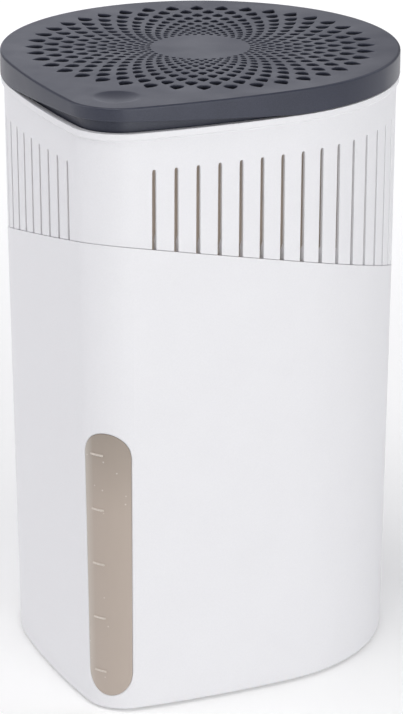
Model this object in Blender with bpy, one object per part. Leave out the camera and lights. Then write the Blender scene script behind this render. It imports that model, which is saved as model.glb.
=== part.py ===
"""Passive moisture absorber: a drop-shaped, two-part housing with a perforated lid.

The plan is a large circle that runs through two slightly bulging flanks into a small rounded corner.
Air enters through the lid and through slots in the upper housing, a pouch of granules in a hanging
basket takes its moisture up, and the brine drips into the tank below, whose level shows in a window
at the corner. Metres, +Z up, the corner towards -Y, origin at the middle of the box on the floor.

Every shell is lofted through drop-shaped rings. A ring is named by its inset, the distance that it
lies inside the lid's outline, and its height. The slanted seam between the housings is a plane.
"""
import math

import bmesh
import bpy
from mathutils import Matrix, Vector

MM = 0.001

# Plan of the lid
LID_RADIUS = 77.5 * MM
CORNER_RADIUS = 19.9 * MM
CORNER_DISTANCE = 81.0 * MM
FLANK_RADIUS = 372.0 * MM
CENTRE_Y = (CORNER_DISTANCE + CORNER_RADIUS - LID_RADIUS) / 2

# Heights
TOP_Z = 240.6 * MM
SKIRT_HEIGHT = 9.5 * MM
RIM_Z = TOP_Z - SKIRT_HEIGHT
SEAM_Z = 159.9 * MM
SEAM_SLOPE = 0.2867
GAP = 0.3 * MM

# Lid
PLATE = 2.4 * MM
SKIRT_WALL = 2.0 * MM
EDGE_ROUND = 0.8 * MM
COLLAR_INSET = 3.35 * MM
COLLAR_WALL = 1.4 * MM
COLLAR_DEPTH = 5.0 * MM
FINGER_GAP_START = 51.0 * MM
FINGER_GAP_SLOPE = 0.0914
DIMPLE_RADIUS = 8.7 * MM
DIMPLE_DEPTH = 1.2 * MM
DIMPLE_DISTANCE = 84.0 * MM

# Lid holes: rings of drops that shrink towards the middle, each ring half a pitch off its neighbour
HOLES_PER_RING = 40
HOLE_RINGS = 12
OUTER_RING_RADIUS = 64.3 * MM
RING_RATIO = 1.11
HOLE_LENGTH = 6.8 * MM
HOLE_WIDTH = 5.2 * MM

# Upper housing
LIP_INSET = 0.2 * MM
LIP_HEIGHT = 2.6 * MM
LIP_SLOPE_HEIGHT = 1.4 * MM
UPPER_INSET = 1.33 * MM
UPPER_DRAFT = 0.0074
UPPER_WALL = 1.6 * MM
LEDGE_Z = 217.9 * MM
LEDGE_THICKNESS = 1.8 * MM
LEDGE_INSET = 5.8 * MM
TONGUE_WALL = 1.2 * MM
TONGUE_CLEARANCE = 0.35 * MM
TONGUE_DEPTH = 3.0 * MM
TONGUE_ROOT = 4.0 * MM
TONGUE_SLOPE_HEIGHT = 2.5 * MM
SLOT_TOP_Z = 216.3 * MM
SLOT_TOP_WIDTH = 1.4 * MM
SLOT_FLARE = 0.008
FIRST_SLOT = 21.0 * MM
SLOTS_PER_SIDE = 27

# Lower housing
BASE_INSET = 3.85 * MM
LOWER_DRAFT = 0.0132
LOWER_WALL = 2.0 * MM
BASE_CHAMFER = 0.8 * MM
FLOOR = 2.4 * MM

# Window at the corner
WINDOW_HALF = 9.9 * MM
WINDOW_LOW = 6.3 * MM
WINDOW_HIGH = 114.1 * MM
WINDOW_FLANGE = 3.0 * MM
FLANGE_THICKNESS = 1.1 * MM
GASKET_WIDTH = 2.2 * MM
GASKET_THICKNESS = 0.8 * MM
PAD_RECESS = 0.4 * MM
MARK_COUNT = 5
MARK_LOW = 16.2 * MM
MARK_PITCH = 22.25 * MM
MARK_LEFT = -6.4 * MM
MARK_RIGHT = -0.9 * MM
MARK_HEIGHT = 1.0 * MM
MARK_PROUD = 0.35 * MM

# Basket and pouch
BASKET_FLANGE_INSET = 3.4 * MM
BASKET_FLANGE = 1.6 * MM
BASKET_INSET = 6.2 * MM
BASKET_DRAFT = 0.018
BASKET_WALL = 1.4 * MM
BASKET_FLOOR_Z = 131.0 * MM
BASKET_FLOOR = 1.6 * MM
BASKET_SLOTS_PER_SIDE = 13
BASKET_SLOT_WIDTH = 3.0 * MM
BASKET_SLOT_LOW = 138.0 * MM
BASKET_SLOT_HIGH = 158.0 * MM
FLOOR_SLOTS = 18
POUCH_HALF = Vector((54.0, 50.0, 31.0)) * MM
POUCH_FLOOR_GAP = 0.5 * MM
POUCH_SQUARENESS = 3.2

# Facets
BACK_STEPS = 56
FLANK_STEPS = 6
CORNER_STEPS = 10


# ---------------------------------------------------------------- outline

def flank_geometry():
    """Centre of the right flank's arc, and its normal's angle where it meets each end arc."""
    to_circle = FLANK_RADIUS - LID_RADIUS
    to_corner = FLANK_RADIUS - CORNER_RADIUS
    y = (to_corner ** 2 - to_circle ** 2 - CORNER_DISTANCE ** 2) / (2 * CORNER_DISTANCE)
    x = -math.sqrt(to_circle ** 2 - y ** 2)
    at_circle = math.atan2(-y, -x)
    at_corner = math.atan2(-CORNER_DISTANCE - y, -x)
    return x, y, at_circle, at_corner


FLANK_X, FLANK_Y, CIRCLE_ANGLE, CORNER_ANGLE = flank_geometry()
CORNER_LENGTH = CORNER_RADIUS * (CORNER_ANGLE + math.pi / 2)
FLANK_LENGTH = FLANK_RADIUS * (CIRCLE_ANGLE - CORNER_ANGLE)
HALF_PERIMETER = CORNER_LENGTH + FLANK_LENGTH + LID_RADIUS * (math.pi / 2 - CIRCLE_ANGLE)


def stations():
    """Arc centre, arc radius and normal angle of each outline point, anticlockwise from the right."""
    turn = 2 * math.pi
    back_end = math.pi - CIRCLE_ANGLE
    corner_start = math.pi - CORNER_ANGLE
    arcs = (
        ((0, 0), LID_RADIUS, CIRCLE_ANGLE, back_end, BACK_STEPS),
        ((-FLANK_X, FLANK_Y), FLANK_RADIUS, back_end, corner_start, FLANK_STEPS),
        ((0, -CORNER_DISTANCE), CORNER_RADIUS, corner_start, turn + CORNER_ANGLE, CORNER_STEPS),
        ((FLANK_X, FLANK_Y), FLANK_RADIUS, turn + CORNER_ANGLE, turn + CIRCLE_ANGLE, FLANK_STEPS),
    )
    found = []
    for centre, radius, start, end, steps in arcs:
        for step in range(steps):
            found.append((centre, radius, start + (end - start) * step / steps))
    return found


STATIONS = stations()


def station_at(length):
    """The station a given length along the lid's outline from the corner; negative is to the left."""
    side = math.copysign(1, length)
    length = abs(length)
    if length < CORNER_LENGTH:
        centre, radius = (0, -CORNER_DISTANCE), CORNER_RADIUS
        angle = -math.pi / 2 + length / CORNER_RADIUS
    elif length < CORNER_LENGTH + FLANK_LENGTH:
        centre, radius = (FLANK_X, FLANK_Y), FLANK_RADIUS
        angle = CORNER_ANGLE + (length - CORNER_LENGTH) / FLANK_RADIUS
    else:
        centre, radius = (0, 0), LID_RADIUS
        angle = CIRCLE_ANGLE + (length - CORNER_LENGTH - FLANK_LENGTH) / LID_RADIUS
    if side < 0:
        centre = (-centre[0], centre[1])
        angle = math.pi - angle
    return centre, radius, angle


def plan_point(station, inset):
    (centre_x, centre_y), radius, angle = station
    x = centre_x + (radius - inset) * math.cos(angle)
    y = CENTRE_Y + centre_y + (radius - inset) * math.sin(angle)
    return x, y


def ring(inset, height):
    """A drop-shaped ring. The inset may depend on the height, and the height on y."""
    points = []
    for station in STATIONS:
        z = SEAM_Z if callable(height) else height
        for _ in range(5):
            x, y = plan_point(station, inset(z) if callable(inset) else inset)
            z = height(y) if callable(height) else height
        points.append((x, y, z))
    return points


def seam(shift):
    """Height of the seam's slanted plane, moved up by shift, as a function of y."""
    return lambda y: SEAM_Z - SEAM_SLOPE * (y - CENTRE_Y) + shift


def upper_wall(depth):
    """Inset of the upper housing's wall, at a depth behind its outer face."""
    top = RIM_Z - LIP_HEIGHT - LIP_SLOPE_HEIGHT
    return lambda z: UPPER_INSET + UPPER_DRAFT * (top - z) + depth


def lower_wall(depth):
    """Inset of the lower housing's wall, at a depth behind its outer face."""
    return lambda z: BASE_INSET - LOWER_DRAFT * z + depth


# ---------------------------------------------------------------- mesh helpers

def add_object(name, mesh, finish=None):
    thing = bpy.data.objects.new(name, mesh)
    bpy.context.scene.collection.objects.link(thing)
    if finish:
        mesh.materials.append(finish)
    return thing


def mesh_object(name, bm, finish=None):
    bmesh.ops.recalc_face_normals(bm, faces=bm.faces)
    mesh = bpy.data.meshes.new(name)
    bm.to_mesh(mesh)
    bm.free()
    return add_object(name, mesh, finish)


def add_loft(bm, rings, tube=False):
    """Skin a list of rings. A tube's last ring joins its first, and otherwise both ends are capped."""
    loops = [[bm.verts.new(point) for point in points] for points in rings]
    count = len(loops[0])
    pairs = list(zip(loops, loops[1:]))
    if tube:
        pairs.append((loops[-1], loops[0]))
    for first, second in pairs:
        for i in range(count):
            j = (i + 1) % count
            bm.faces.new((first[i], first[j], second[j], second[i]))
    if not tube:
        bm.faces.new(loops[0])
        bm.faces.new(loops[-1])


def loft(name, rings, finish=None, tube=False):
    bm = bmesh.new()
    add_loft(bm, rings, tube)
    return mesh_object(name, bm, finish)


def add_prism(bm, first, second):
    add_loft(bm, [first, second])


def combine(target, tool, operation):
    """Cut the tool from the target, or join it to it, and leave the tool as a wire guide."""
    modifier = target.modifiers.new(tool.name, "BOOLEAN")
    modifier.operation = operation
    modifier.solver = "EXACT"
    modifier.object = tool
    tool.hide_render = True
    tool.display_type = "WIRE"


def set_origin(thing, z):
    """Move an object's origin to the housing's axis at height z, where its slide runs."""
    origin = Vector((0, CENTRE_Y, z))
    thing.data.transform(Matrix.Translation(-origin))
    thing.location = origin


def smooth(thing, degrees=35):
    thing.data.shade_smooth()
    thing.data.set_sharp_from_angle(angle=math.radians(degrees))


def material(name, colour, roughness, alpha=1.0):
    made = bpy.data.materials.new(name)
    made.use_nodes = True
    shader = made.node_tree.nodes["Principled BSDF"]
    shader.inputs["Base Color"].default_value = (*colour, 1)
    shader.inputs["Roughness"].default_value = roughness
    shader.inputs["Metallic"].default_value = 0.0
    shader.inputs["Alpha"].default_value = alpha
    made.diffuse_color = (*colour, alpha)
    return made


# ---------------------------------------------------------------- slots and holes

def add_wall_slot(bm, length, profile, outer_inset, inner_inset):
    """A prism through a wall at a place on the outline. The profile is (across, z) points."""
    station = station_at(length)
    angle = station[2]
    across = Vector((-math.sin(angle), math.cos(angle)))
    ends = []
    for inset in (outer_inset, inner_inset):
        foot = Vector(plan_point(station, inset))
        ends.append([(*(foot + across * offset), z) for offset, z in profile])
    add_prism(bm, *ends)


def vent_slot_profile():
    """A slot that widens downwards, runs out below the seam and has a round top."""
    half_top = SLOT_TOP_WIDTH / 2
    round_z = SLOT_TOP_Z - half_top
    bottom_z = SEAM_Z - SEAM_SLOPE * LID_RADIUS - 10 * MM
    half_bottom = half_top + SLOT_FLARE / 2 * (round_z - bottom_z)
    arc = [(half_top * math.cos(turn), round_z + half_top * math.sin(turn))
           for turn in (math.pi * step / 3 for step in range(4))]
    return [(-half_bottom, bottom_z), (half_bottom, bottom_z)] + arc


def add_drop_hole(bm, radius, angle, low, high):
    """A kite through the lid's plate, its point outwards."""
    scale = radius / OUTER_RING_RADIUS
    length = HOLE_LENGTH * scale
    half_width = HOLE_WIDTH * scale / 2
    out = Vector((math.cos(angle), math.sin(angle)))
    across = Vector((-out.y, out.x))
    middle = Vector((0, CENTRE_Y)) + out * radius
    corners = (
        middle + out * length * 0.52,
        middle + across * half_width - out * length * 0.08,
        middle - out * length * 0.48,
        middle - across * half_width - out * length * 0.08,
    )
    add_prism(bm, [(*corner, low) for corner in corners], [(*corner, high) for corner in corners])


def lid_holes():
    bm = bmesh.new()
    pitch = 2 * math.pi / HOLES_PER_RING
    for row in range(HOLE_RINGS):
        radius = OUTER_RING_RADIUS / RING_RATIO ** row
        stagger = 0.5 if row % 2 == 0 else 0.0
        for number in range(HOLES_PER_RING):
            angle = -math.pi / 2 + (number + stagger) * pitch
            add_drop_hole(bm, radius, angle, TOP_Z - PLATE - MM, TOP_Z + MM)
    return mesh_object("lid_hole_cutter", bm)


def thumb_dimple():
    """A shallow dish in the lid, cut with the cap of a large sphere."""
    sphere = (DIMPLE_RADIUS ** 2 + DIMPLE_DEPTH ** 2) / (2 * DIMPLE_DEPTH)
    steps = 24
    rings = []
    for share in (1.0, 0.7, 0.35):
        radius = DIMPLE_RADIUS * share
        depth = math.sqrt(sphere ** 2 - radius ** 2) - (sphere - DIMPLE_DEPTH)
        rings.append([(radius * math.cos(2 * math.pi * i / steps),
                       CENTRE_Y - DIMPLE_DISTANCE + radius * math.sin(2 * math.pi * i / steps),
                       TOP_Z - depth) for i in range(steps)])
    rings.insert(0, [(x, y, TOP_Z + MM) for x, y, _ in rings[0]])
    return loft("thumb_dimple_cutter", rings)


# ---------------------------------------------------------------- window at the corner

def corner_point(along, z, depth):
    """A point near the corner's wall: along the wall, up it, and behind its outer face."""
    mean_radius = CORNER_RADIUS - BASE_INSET + LOWER_DRAFT * (WINDOW_LOW + WINDOW_HIGH) / 2
    angle = -math.pi / 2 + along / mean_radius
    return (*plan_point(((0, -CORNER_DISTANCE), CORNER_RADIUS, angle), lower_wall(depth)(z)), z)


def corner_solid(name, columns, outer_depth, inner_depth, finish=None):
    """A block that follows the corner's wall. Each column is (along, lowest z, highest z)."""
    rings = []
    for along, low, high in columns:
        rings.append([corner_point(along, low, outer_depth), corner_point(along, high, outer_depth),
                      corner_point(along, high, inner_depth), corner_point(along, low, inner_depth)])
    return loft(name, rings, finish)


def stadium(half_width, low, high, steps=12):
    """Columns of an upright stadium: a strip with half-round ends."""
    columns = []
    for step in range(steps + 1):
        along = -half_width * math.cos(math.pi * step / steps)
        rise = half_width * math.sin(math.pi * step / steps)
        columns.append((along, low + half_width - rise, high - half_width + rise))
    return columns


def window_stadium(margin):
    """The window's stadium, grown by a margin all round."""
    return stadium(WINDOW_HALF + margin, WINDOW_LOW - margin, WINDOW_HIGH + margin)


# ---------------------------------------------------------------- pieces

def make_lid(finish):
    def skirt_edge(y):
        return RIM_Z + max(0, CENTRE_Y - FINGER_GAP_START - y) * FINGER_GAP_SLOPE

    under = TOP_Z - PLATE
    collar_low = RIM_Z - COLLAR_DEPTH
    lid = loft("lid", [
        ring(EDGE_ROUND, TOP_Z),
        ring(EDGE_ROUND * 0.3, TOP_Z - EDGE_ROUND * 0.3),
        ring(0, TOP_Z - EDGE_ROUND),
        ring(0, skirt_edge),
        ring(SKIRT_WALL, skirt_edge),
        ring(SKIRT_WALL, under),
        ring(COLLAR_INSET, under),
        ring(COLLAR_INSET, collar_low),
        ring(COLLAR_INSET + COLLAR_WALL, collar_low),
        ring(COLLAR_INSET + COLLAR_WALL, under),
    ], finish)
    combine(lid, lid_holes(), "DIFFERENCE")
    combine(lid, thumb_dimple(), "DIFFERENCE")
    return lid


def make_upper_housing(finish):
    """A sleeve with a ledge inside. Between its slots, tongues reach down inside the tank's wall."""
    rim = RIM_Z - GAP
    lip_low = RIM_Z - LIP_HEIGHT
    inside = upper_wall(UPPER_WALL)
    tongue_outside = lower_wall(LOWER_WALL + TONGUE_CLEARANCE)
    tongue_inside = lower_wall(LOWER_WALL + TONGUE_CLEARANCE + TONGUE_WALL)
    housing = loft("upper_housing", [
        ring(inside, rim),
        ring(LIP_INSET, rim),
        ring(LIP_INSET, lip_low),
        ring(UPPER_INSET, lip_low - LIP_SLOPE_HEIGHT),
        ring(upper_wall(0), seam(GAP / 2)),
        ring(tongue_outside, seam(GAP / 2)),
        ring(tongue_outside, seam(-TONGUE_DEPTH)),
        ring(tongue_inside, seam(-TONGUE_DEPTH)),
        ring(tongue_inside, seam(TONGUE_ROOT)),
        ring(inside, seam(TONGUE_ROOT + TONGUE_SLOPE_HEIGHT)),
        ring(inside, LEDGE_Z),
        ring(LEDGE_INSET, LEDGE_Z),
        ring(LEDGE_INSET, LEDGE_Z + LEDGE_THICKNESS),
        ring(inside, LEDGE_Z + LEDGE_THICKNESS),
    ], finish, tube=True)
    bm = bmesh.new()
    pitch = (HALF_PERIMETER - FIRST_SLOT) / SLOTS_PER_SIDE
    profile = vent_slot_profile()
    places = [FIRST_SLOT + number * pitch for number in range(SLOTS_PER_SIDE)]
    for place in [-place for place in places] + places + [HALF_PERIMETER]:
        add_wall_slot(bm, place, profile, -2 * MM, LEDGE_INSET)
    combine(housing, mesh_object("vent_slot_cutter", bm), "DIFFERENCE")
    return housing


def make_basket(finish):
    flange_low = LEDGE_Z + LEDGE_THICKNESS + GAP
    flange_high = flange_low + BASKET_FLANGE

    def wall(depth):
        return lambda z: BASKET_INSET + BASKET_DRAFT * (flange_low - z) + depth

    basket = loft("granule_basket", [
        ring(wall(0), BASKET_FLOOR_Z),
        ring(wall(0), flange_low),
        ring(BASKET_FLANGE_INSET, flange_low),
        ring(BASKET_FLANGE_INSET, flange_high),
        ring(wall(BASKET_WALL), flange_high),
        ring(wall(BASKET_WALL), BASKET_FLOOR_Z + BASKET_FLOOR),
    ], finish)
    bm = bmesh.new()
    half = BASKET_SLOT_WIDTH / 2
    profile = [(-half, BASKET_SLOT_LOW), (half, BASKET_SLOT_LOW),
               (half, BASKET_SLOT_HIGH), (-half, BASKET_SLOT_HIGH)]
    pitch = (HALF_PERIMETER - FIRST_SLOT) / BASKET_SLOTS_PER_SIDE
    for number in range(BASKET_SLOTS_PER_SIDE):
        for side in (-1, 1):
            place = side * (FIRST_SLOT + (number + 0.5) * pitch)
            add_wall_slot(bm, place, profile, 5 * MM, 13 * MM)
    combine(basket, mesh_object("basket_slot_cutter", bm), "DIFFERENCE")
    combine(basket, basket_floor_slots(), "DIFFERENCE")
    return basket


def basket_floor_slots():
    """Drip slots that fan out over the basket's floor."""
    inner, outer, half_width = 18 * MM, 54 * MM, 2 * MM
    bm = bmesh.new()
    for number in range(FLOOR_SLOTS):
        angle = 2 * math.pi * number / FLOOR_SLOTS
        out = Vector((math.cos(angle), math.sin(angle)))
        across = Vector((-out.y, out.x)) * half_width
        centre = Vector((0, CENTRE_Y))
        corners = [centre + out * inner - across, centre + out * outer - across,
                   centre + out * outer + across, centre + out * inner + across]
        low = BASKET_FLOOR_Z - MM
        high = BASKET_FLOOR_Z + BASKET_FLOOR + MM
        add_prism(bm, [(*corner, low) for corner in corners], [(*corner, high) for corner in corners])
    return mesh_object("basket_floor_cutter", bm)


def make_pouch(finish):
    """A pillow of granules: a rounded square in plan, flat underneath where it rests."""
    around, levels = 28, 10
    power = 2 / POUCH_SQUARENESS
    middle_z = BASKET_FLOOR_Z + BASKET_FLOOR + POUCH_FLOOR_GAP + POUCH_HALF.z
    bm = bmesh.new()
    rings = []
    for level in range(1, levels):
        tilt = math.pi * level / levels - math.pi / 2
        spread = math.cos(tilt) ** 0.6
        points = []
        for step in range(around):
            turn = 2 * math.pi * step / around
            x = math.copysign(abs(math.cos(turn)) ** power, math.cos(turn))
            y = math.copysign(abs(math.sin(turn)) ** power, math.sin(turn))
            points.append((POUCH_HALF.x * spread * x,
                           CENTRE_Y + POUCH_HALF.y * spread * y,
                           middle_z + POUCH_HALF.z * math.sin(tilt)))
        rings.append(points)
    add_loft(bm, rings)
    return mesh_object("desiccant_pouch", bm, finish)


def make_lower_housing(finish):
    inside = lower_wall(LOWER_WALL)
    housing = loft("lower_housing", [
        ring(BASE_INSET + BASE_CHAMFER, 0),
        ring(lower_wall(0), BASE_CHAMFER),
        ring(lower_wall(0), seam(-GAP / 2)),
        ring(inside, seam(-GAP / 2)),
        ring(inside, FLOOR),
    ], finish)
    aperture = corner_solid("window_cutter", window_stadium(0), -4 * MM, LOWER_WALL + 3 * MM)
    combine(housing, aperture, "DIFFERENCE")
    return housing


def make_level_window(finish):
    """A pad that fills the opening, on a flange behind the wall, with raised level marks."""
    flange_front = LOWER_WALL + GAP + GASKET_THICKNESS + GAP
    window = corner_solid("level_window", window_stadium(-GAP), PAD_RECESS, flange_front + 0.5 * MM, finish)
    flange = corner_solid("window_flange_tool", window_stadium(WINDOW_FLANGE),
                          flange_front, flange_front + FLANGE_THICKNESS)
    combine(window, flange, "UNION")
    for number in range(MARK_COUNT):
        z = MARK_LOW + number * MARK_PITCH
        low, high = z - MARK_HEIGHT / 2, z + MARK_HEIGHT / 2
        places = (MARK_LEFT, (MARK_LEFT + MARK_RIGHT) / 2, MARK_RIGHT)
        mark = corner_solid(f"window_mark_tool_{number + 1}", [(place, low, high) for place in places],
                            PAD_RECESS - MARK_PROUD, PAD_RECESS + 0.5 * MM)
        combine(window, mark, "UNION")
    return window


def make_window_gasket(finish):
    """A flat seal that lies between the wall and the window's flange."""
    front = LOWER_WALL + GAP
    gasket = corner_solid("window_gasket", window_stadium(GAP + GASKET_WIDTH),
                          front, front + GASKET_THICKNESS, finish)
    middle = corner_solid("gasket_middle_cutter", window_stadium(GAP), front - MM,
                          front + GASKET_THICKNESS + MM)
    combine(gasket, middle, "DIFFERENCE")
    return gasket


def build():
    for thing in list(bpy.data.objects):
        bpy.data.objects.remove(thing)
    white = material("white_plastic", (0.80, 0.80, 0.82), 0.45)
    grey = material("grey_plastic", (0.17, 0.17, 0.20), 0.55)
    smoke = material("smoky_plastic", (0.42, 0.38, 0.34), 0.25, alpha=0.7)
    rubber = material("grey_rubber", (0.25, 0.25, 0.25), 0.8)
    fleece = material("white_fleece", (0.85, 0.84, 0.80), 0.9)
    pieces = (
        (make_lid(grey), RIM_Z),
        (make_upper_housing(white), SEAM_Z),
        (make_basket(smoke), LEDGE_Z + LEDGE_THICKNESS),
        (make_pouch(fleece), BASKET_FLOOR_Z),
        (make_lower_housing(white), 0),
        (make_level_window(smoke), 0),
        (make_window_gasket(rubber), 0),
    )
    for piece, seat_z in pieces:
        smooth(piece)
        set_origin(piece, seat_z)


build()
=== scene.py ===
"""Looks of the passive room dehumidifier: fine meshes, materials, soft studio light and the camera.

The plan, the seam and the wall insets are those of the CAD part, repeated here because this script
stands alone. A place on a wall is given by its length along the lid's outline from the corner
(negative to the left), its inset behind that outline, and its height. Metres, +Z up.
"""
import math

import bmesh
import bpy
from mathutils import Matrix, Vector, noise
from mathutils.geometry import delaunay_2d_cdt


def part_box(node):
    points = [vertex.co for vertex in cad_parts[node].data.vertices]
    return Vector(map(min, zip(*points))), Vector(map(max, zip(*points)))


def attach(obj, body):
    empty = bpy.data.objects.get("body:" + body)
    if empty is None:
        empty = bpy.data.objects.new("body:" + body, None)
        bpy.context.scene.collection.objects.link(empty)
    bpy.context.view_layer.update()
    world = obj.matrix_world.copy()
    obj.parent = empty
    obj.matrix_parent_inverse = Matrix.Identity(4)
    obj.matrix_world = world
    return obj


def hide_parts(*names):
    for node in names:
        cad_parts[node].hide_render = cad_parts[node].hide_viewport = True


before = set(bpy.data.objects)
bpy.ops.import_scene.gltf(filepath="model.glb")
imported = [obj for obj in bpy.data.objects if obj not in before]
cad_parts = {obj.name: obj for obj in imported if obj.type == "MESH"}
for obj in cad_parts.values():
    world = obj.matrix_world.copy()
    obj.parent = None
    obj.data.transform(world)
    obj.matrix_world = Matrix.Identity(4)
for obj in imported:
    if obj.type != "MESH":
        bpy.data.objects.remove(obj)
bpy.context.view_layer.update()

MM = 0.001

# Plan of the lid, as in the CAD part, and how closely the outline is stepped
LID_RADIUS = 77.5 * MM
CORNER_RADIUS = 19.9 * MM
CORNER_DISTANCE = 81.0 * MM
FLANK_RADIUS = 372.0 * MM
CENTRE_Y = (CORNER_DISTANCE + CORNER_RADIUS - LID_RADIUS) / 2
COLUMN_STEP = 2.6 * MM
CORNER_COLUMN_STEP = 1.3 * MM
CORNER_MARGIN = 4.0 * MM

# Heights
TOP_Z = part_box("lid")[1].z
LID_HEIGHT = 9.5 * MM
RIM_Z = TOP_Z - LID_HEIGHT
SEAM_Z = 159.9 * MM
SEAM_SLOPE = 0.2867
SEAM_GAP = 0.12 * MM
GAP = 0.3 * MM

# Rounding of edges that are sharper than an angle
EDGE_ROUNDING = 0.25 * MM
SHARP_EDGE = math.radians(32)

# Lid
PLATE = 2.4 * MM
SKIRT_WALL = 2.0 * MM
TOP_EDGE_ROUND = 0.8 * MM
LOW_EDGE_ROUND = 0.3 * MM
COLLAR_INSET = 3.35 * MM
COLLAR_WALL = 1.4 * MM
COLLAR_DEPTH = 5.0 * MM
FINGER_GAP_START = 51.0 * MM
FINGER_GAP_SLOPE = 0.0914
DISH_DEPTH = 0.57 * MM
DIMPLE_RADIUS = 8.7 * MM
DIMPLE_DEPTH = 1.2 * MM
DIMPLE_SOFTNESS = 0.15 * MM
DIMPLE_DISTANCE = 84.0 * MM
HOLES_PER_RING = 40
HOLE_RINGS = 12
OUTER_RING_RADIUS = 64.3 * MM
RING_RATIO = 1.11
HOLE_LENGTH = 6.8 * MM
HOLE_WIDTH = 5.2 * MM
HOLE_ROUND = 0.3 * MM
HOLE_POINTS = 16
DROP_WIDEST = 0.77  # the greatest value of sin(turn) * sin(turn / 2), which shapes a hole

# Upper housing
LIP_INSET = 0.2 * MM
LIP_HEIGHT = 2.6 * MM
LIP_SLOPE_HEIGHT = 0.8 * MM
UPPER_INSET = 1.33 * MM
UPPER_DRAFT = 0.0074
UPPER_WALL = 1.6 * MM
LEDGE_Z = 217.9 * MM
LEDGE_THICKNESS = 1.8 * MM
LEDGE_INSET = 5.8 * MM
TONGUE_WALL = 1.2 * MM
TONGUE_CLEARANCE = 0.35 * MM
TONGUE_DEPTH = 3.0 * MM
TONGUE_ROOT = 4.0 * MM
TONGUE_SLOPE_HEIGHT = 2.5 * MM
SLOT_TOP_Z = 216.3 * MM
SLOT_TOP_WIDTH = 1.4 * MM
SLOT_FLARE = 0.008
SLOT_ARC_STEPS = 6
FIRST_SLOT = 21.0 * MM
SLOTS_PER_SIDE = 27

# Lower housing
BASE_INSET = 3.85 * MM
LOWER_DRAFT = 0.0132
LOWER_WALL = 2.0 * MM
FOOT_INSET = 3.0 * MM
FOOT_HEIGHT = 1.1 * MM
FOOT_SOFTENING = 0.2 * MM
FLOOR = 2.4 * MM

# Window
WINDOW_HALF = 9.9 * MM
WINDOW_LOW = 6.3 * MM
WINDOW_HIGH = 114.1 * MM
WINDOW_FLANGE = 3.0 * MM
WINDOW_STEPS = 28
APERTURE_ROUNDING = 0.7 * MM
FLANGE_THICKNESS = 1.1 * MM
GASKET_WIDTH = 2.2 * MM
GASKET_THICKNESS = 0.8 * MM
PAD_RECESS = 0.3 * MM
PAD_GAP = 0.06 * MM
PAD_ROUNDING = 0.12 * MM
MARK_COUNT = 5
MARK_LOW = 16.2 * MM
MARK_PITCH = 22.25 * MM
MARK_LEFT = -6.4 * MM
MARK_RIGHT = -0.9 * MM
MARK_HEIGHT = 0.8 * MM
MARK_PROUD = 0.35 * MM
MARK_STEPS = 8

# Widens the window's places for the corner's radius, which is smaller at the tank than at the lid
TANK_CORNER_RADIUS = CORNER_RADIUS - BASE_INSET + LOWER_DRAFT * (WINDOW_LOW + WINDOW_HIGH) / 2
WINDOW_STRETCH = CORNER_RADIUS / TANK_CORNER_RADIUS

# Basket
BASKET_FLANGE_INSET = 3.4 * MM
BASKET_FLANGE = 1.6 * MM
BASKET_INSET = 6.2 * MM
BASKET_DRAFT = 0.018
BASKET_WALL = 1.4 * MM
BASKET_FLOOR_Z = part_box("granule_basket")[0].z
BASKET_FLOOR = 1.6 * MM
BASKET_SLOTS_PER_SIDE = 13
BASKET_SLOT_WIDTH = 3.0 * MM
BASKET_SLOT_LOW = 138.0 * MM
BASKET_SLOT_HIGH = 158.0 * MM
FLOOR_SLOTS = 18
FLOOR_SLOT_START = 20.0 * MM
FLOOR_SLOT_END = 52.0 * MM
FLOOR_SLOT_HALF_WIDTH = 2.0 * MM

# Pouch: the CAD solid's half size, and the filled body inside its sealed edge
POUCH_HALF = Vector((54.0, 50.0, 31.0)) * MM
POUCH_FLOOR_GAP = 0.5 * MM
POUCH_SQUARENESS = 3.2
POUCH_EDGE = 6.0 * MM
POUCH_SEAL_THICKNESS = 0.9 * MM
POUCH_VOXEL = 5.0 * MM
POUCH_SWELL = 3.0 * MM
POUCH_LUMP = 0.9 * MM
POUCH_PRESSURE = 4
POUCH_FRAMES = 20
POUCH_MIDDLE_Z = BASKET_FLOOR_Z + BASKET_FLOOR + POUCH_FLOOR_GAP + POUCH_HALF.z

# Colours, each from a dark to a light tone where the surface varies
GREY_DARK = (0.028, 0.031, 0.047)
GREY_LIGHT = (0.043, 0.047, 0.070)
GREY_TINT = (0.93, 0.95, 1.0)
WHITE_DARK = (0.79, 0.79, 0.81)
WHITE_LIGHT = (0.82, 0.82, 0.84)
# Window colours: painted shade darkens the window from its low colour towards its top colour
WINDOW_LOW_COLOUR = (0.465, 0.395, 0.34)
WINDOW_SHADE_START_COLOUR = (0.45, 0.38, 0.325)
WINDOW_SHADED_TOP_COLOUR = (0.335, 0.285, 0.24)
# painted reflection: a paler band along the window's left edge, painted into its colour
WINDOW_EDGE_REFLECTION_COLOUR = (0.66, 0.63, 0.57)
WINDOW_EDGE_REFLECTION_SHARE = 0.45
WINDOW_EDGE_REFLECTION_START = -9.5 * MM
WINDOW_EDGE_REFLECTION_END = -5.5 * MM
WINDOW_SPECK_COLOUR = (0.9, 0.88, 0.85)
# painted highlight: the marks are painted lighter than the window for the light their edges catch
MARK_HIGHLIGHT_COLOURS = [(0.3, (0.58, 0.52, 0.46)), (0.7, (0.66, 0.60, 0.54))]
BASKET_DARK = (0.40, 0.345, 0.295)
BASKET_LIGHT = (0.45, 0.39, 0.335)
RUBBER_DARK = (0.045, 0.045, 0.047)
RUBBER_LIGHT = (0.075, 0.075, 0.077)
FLEECE_DARK = (0.66, 0.65, 0.61)
FLEECE_LIGHT = (0.88, 0.87, 0.84)
FLOOR_DARK = (0.95, 0.95, 0.94)
FLOOR_LIGHT = (0.97, 0.97, 0.96)

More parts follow.
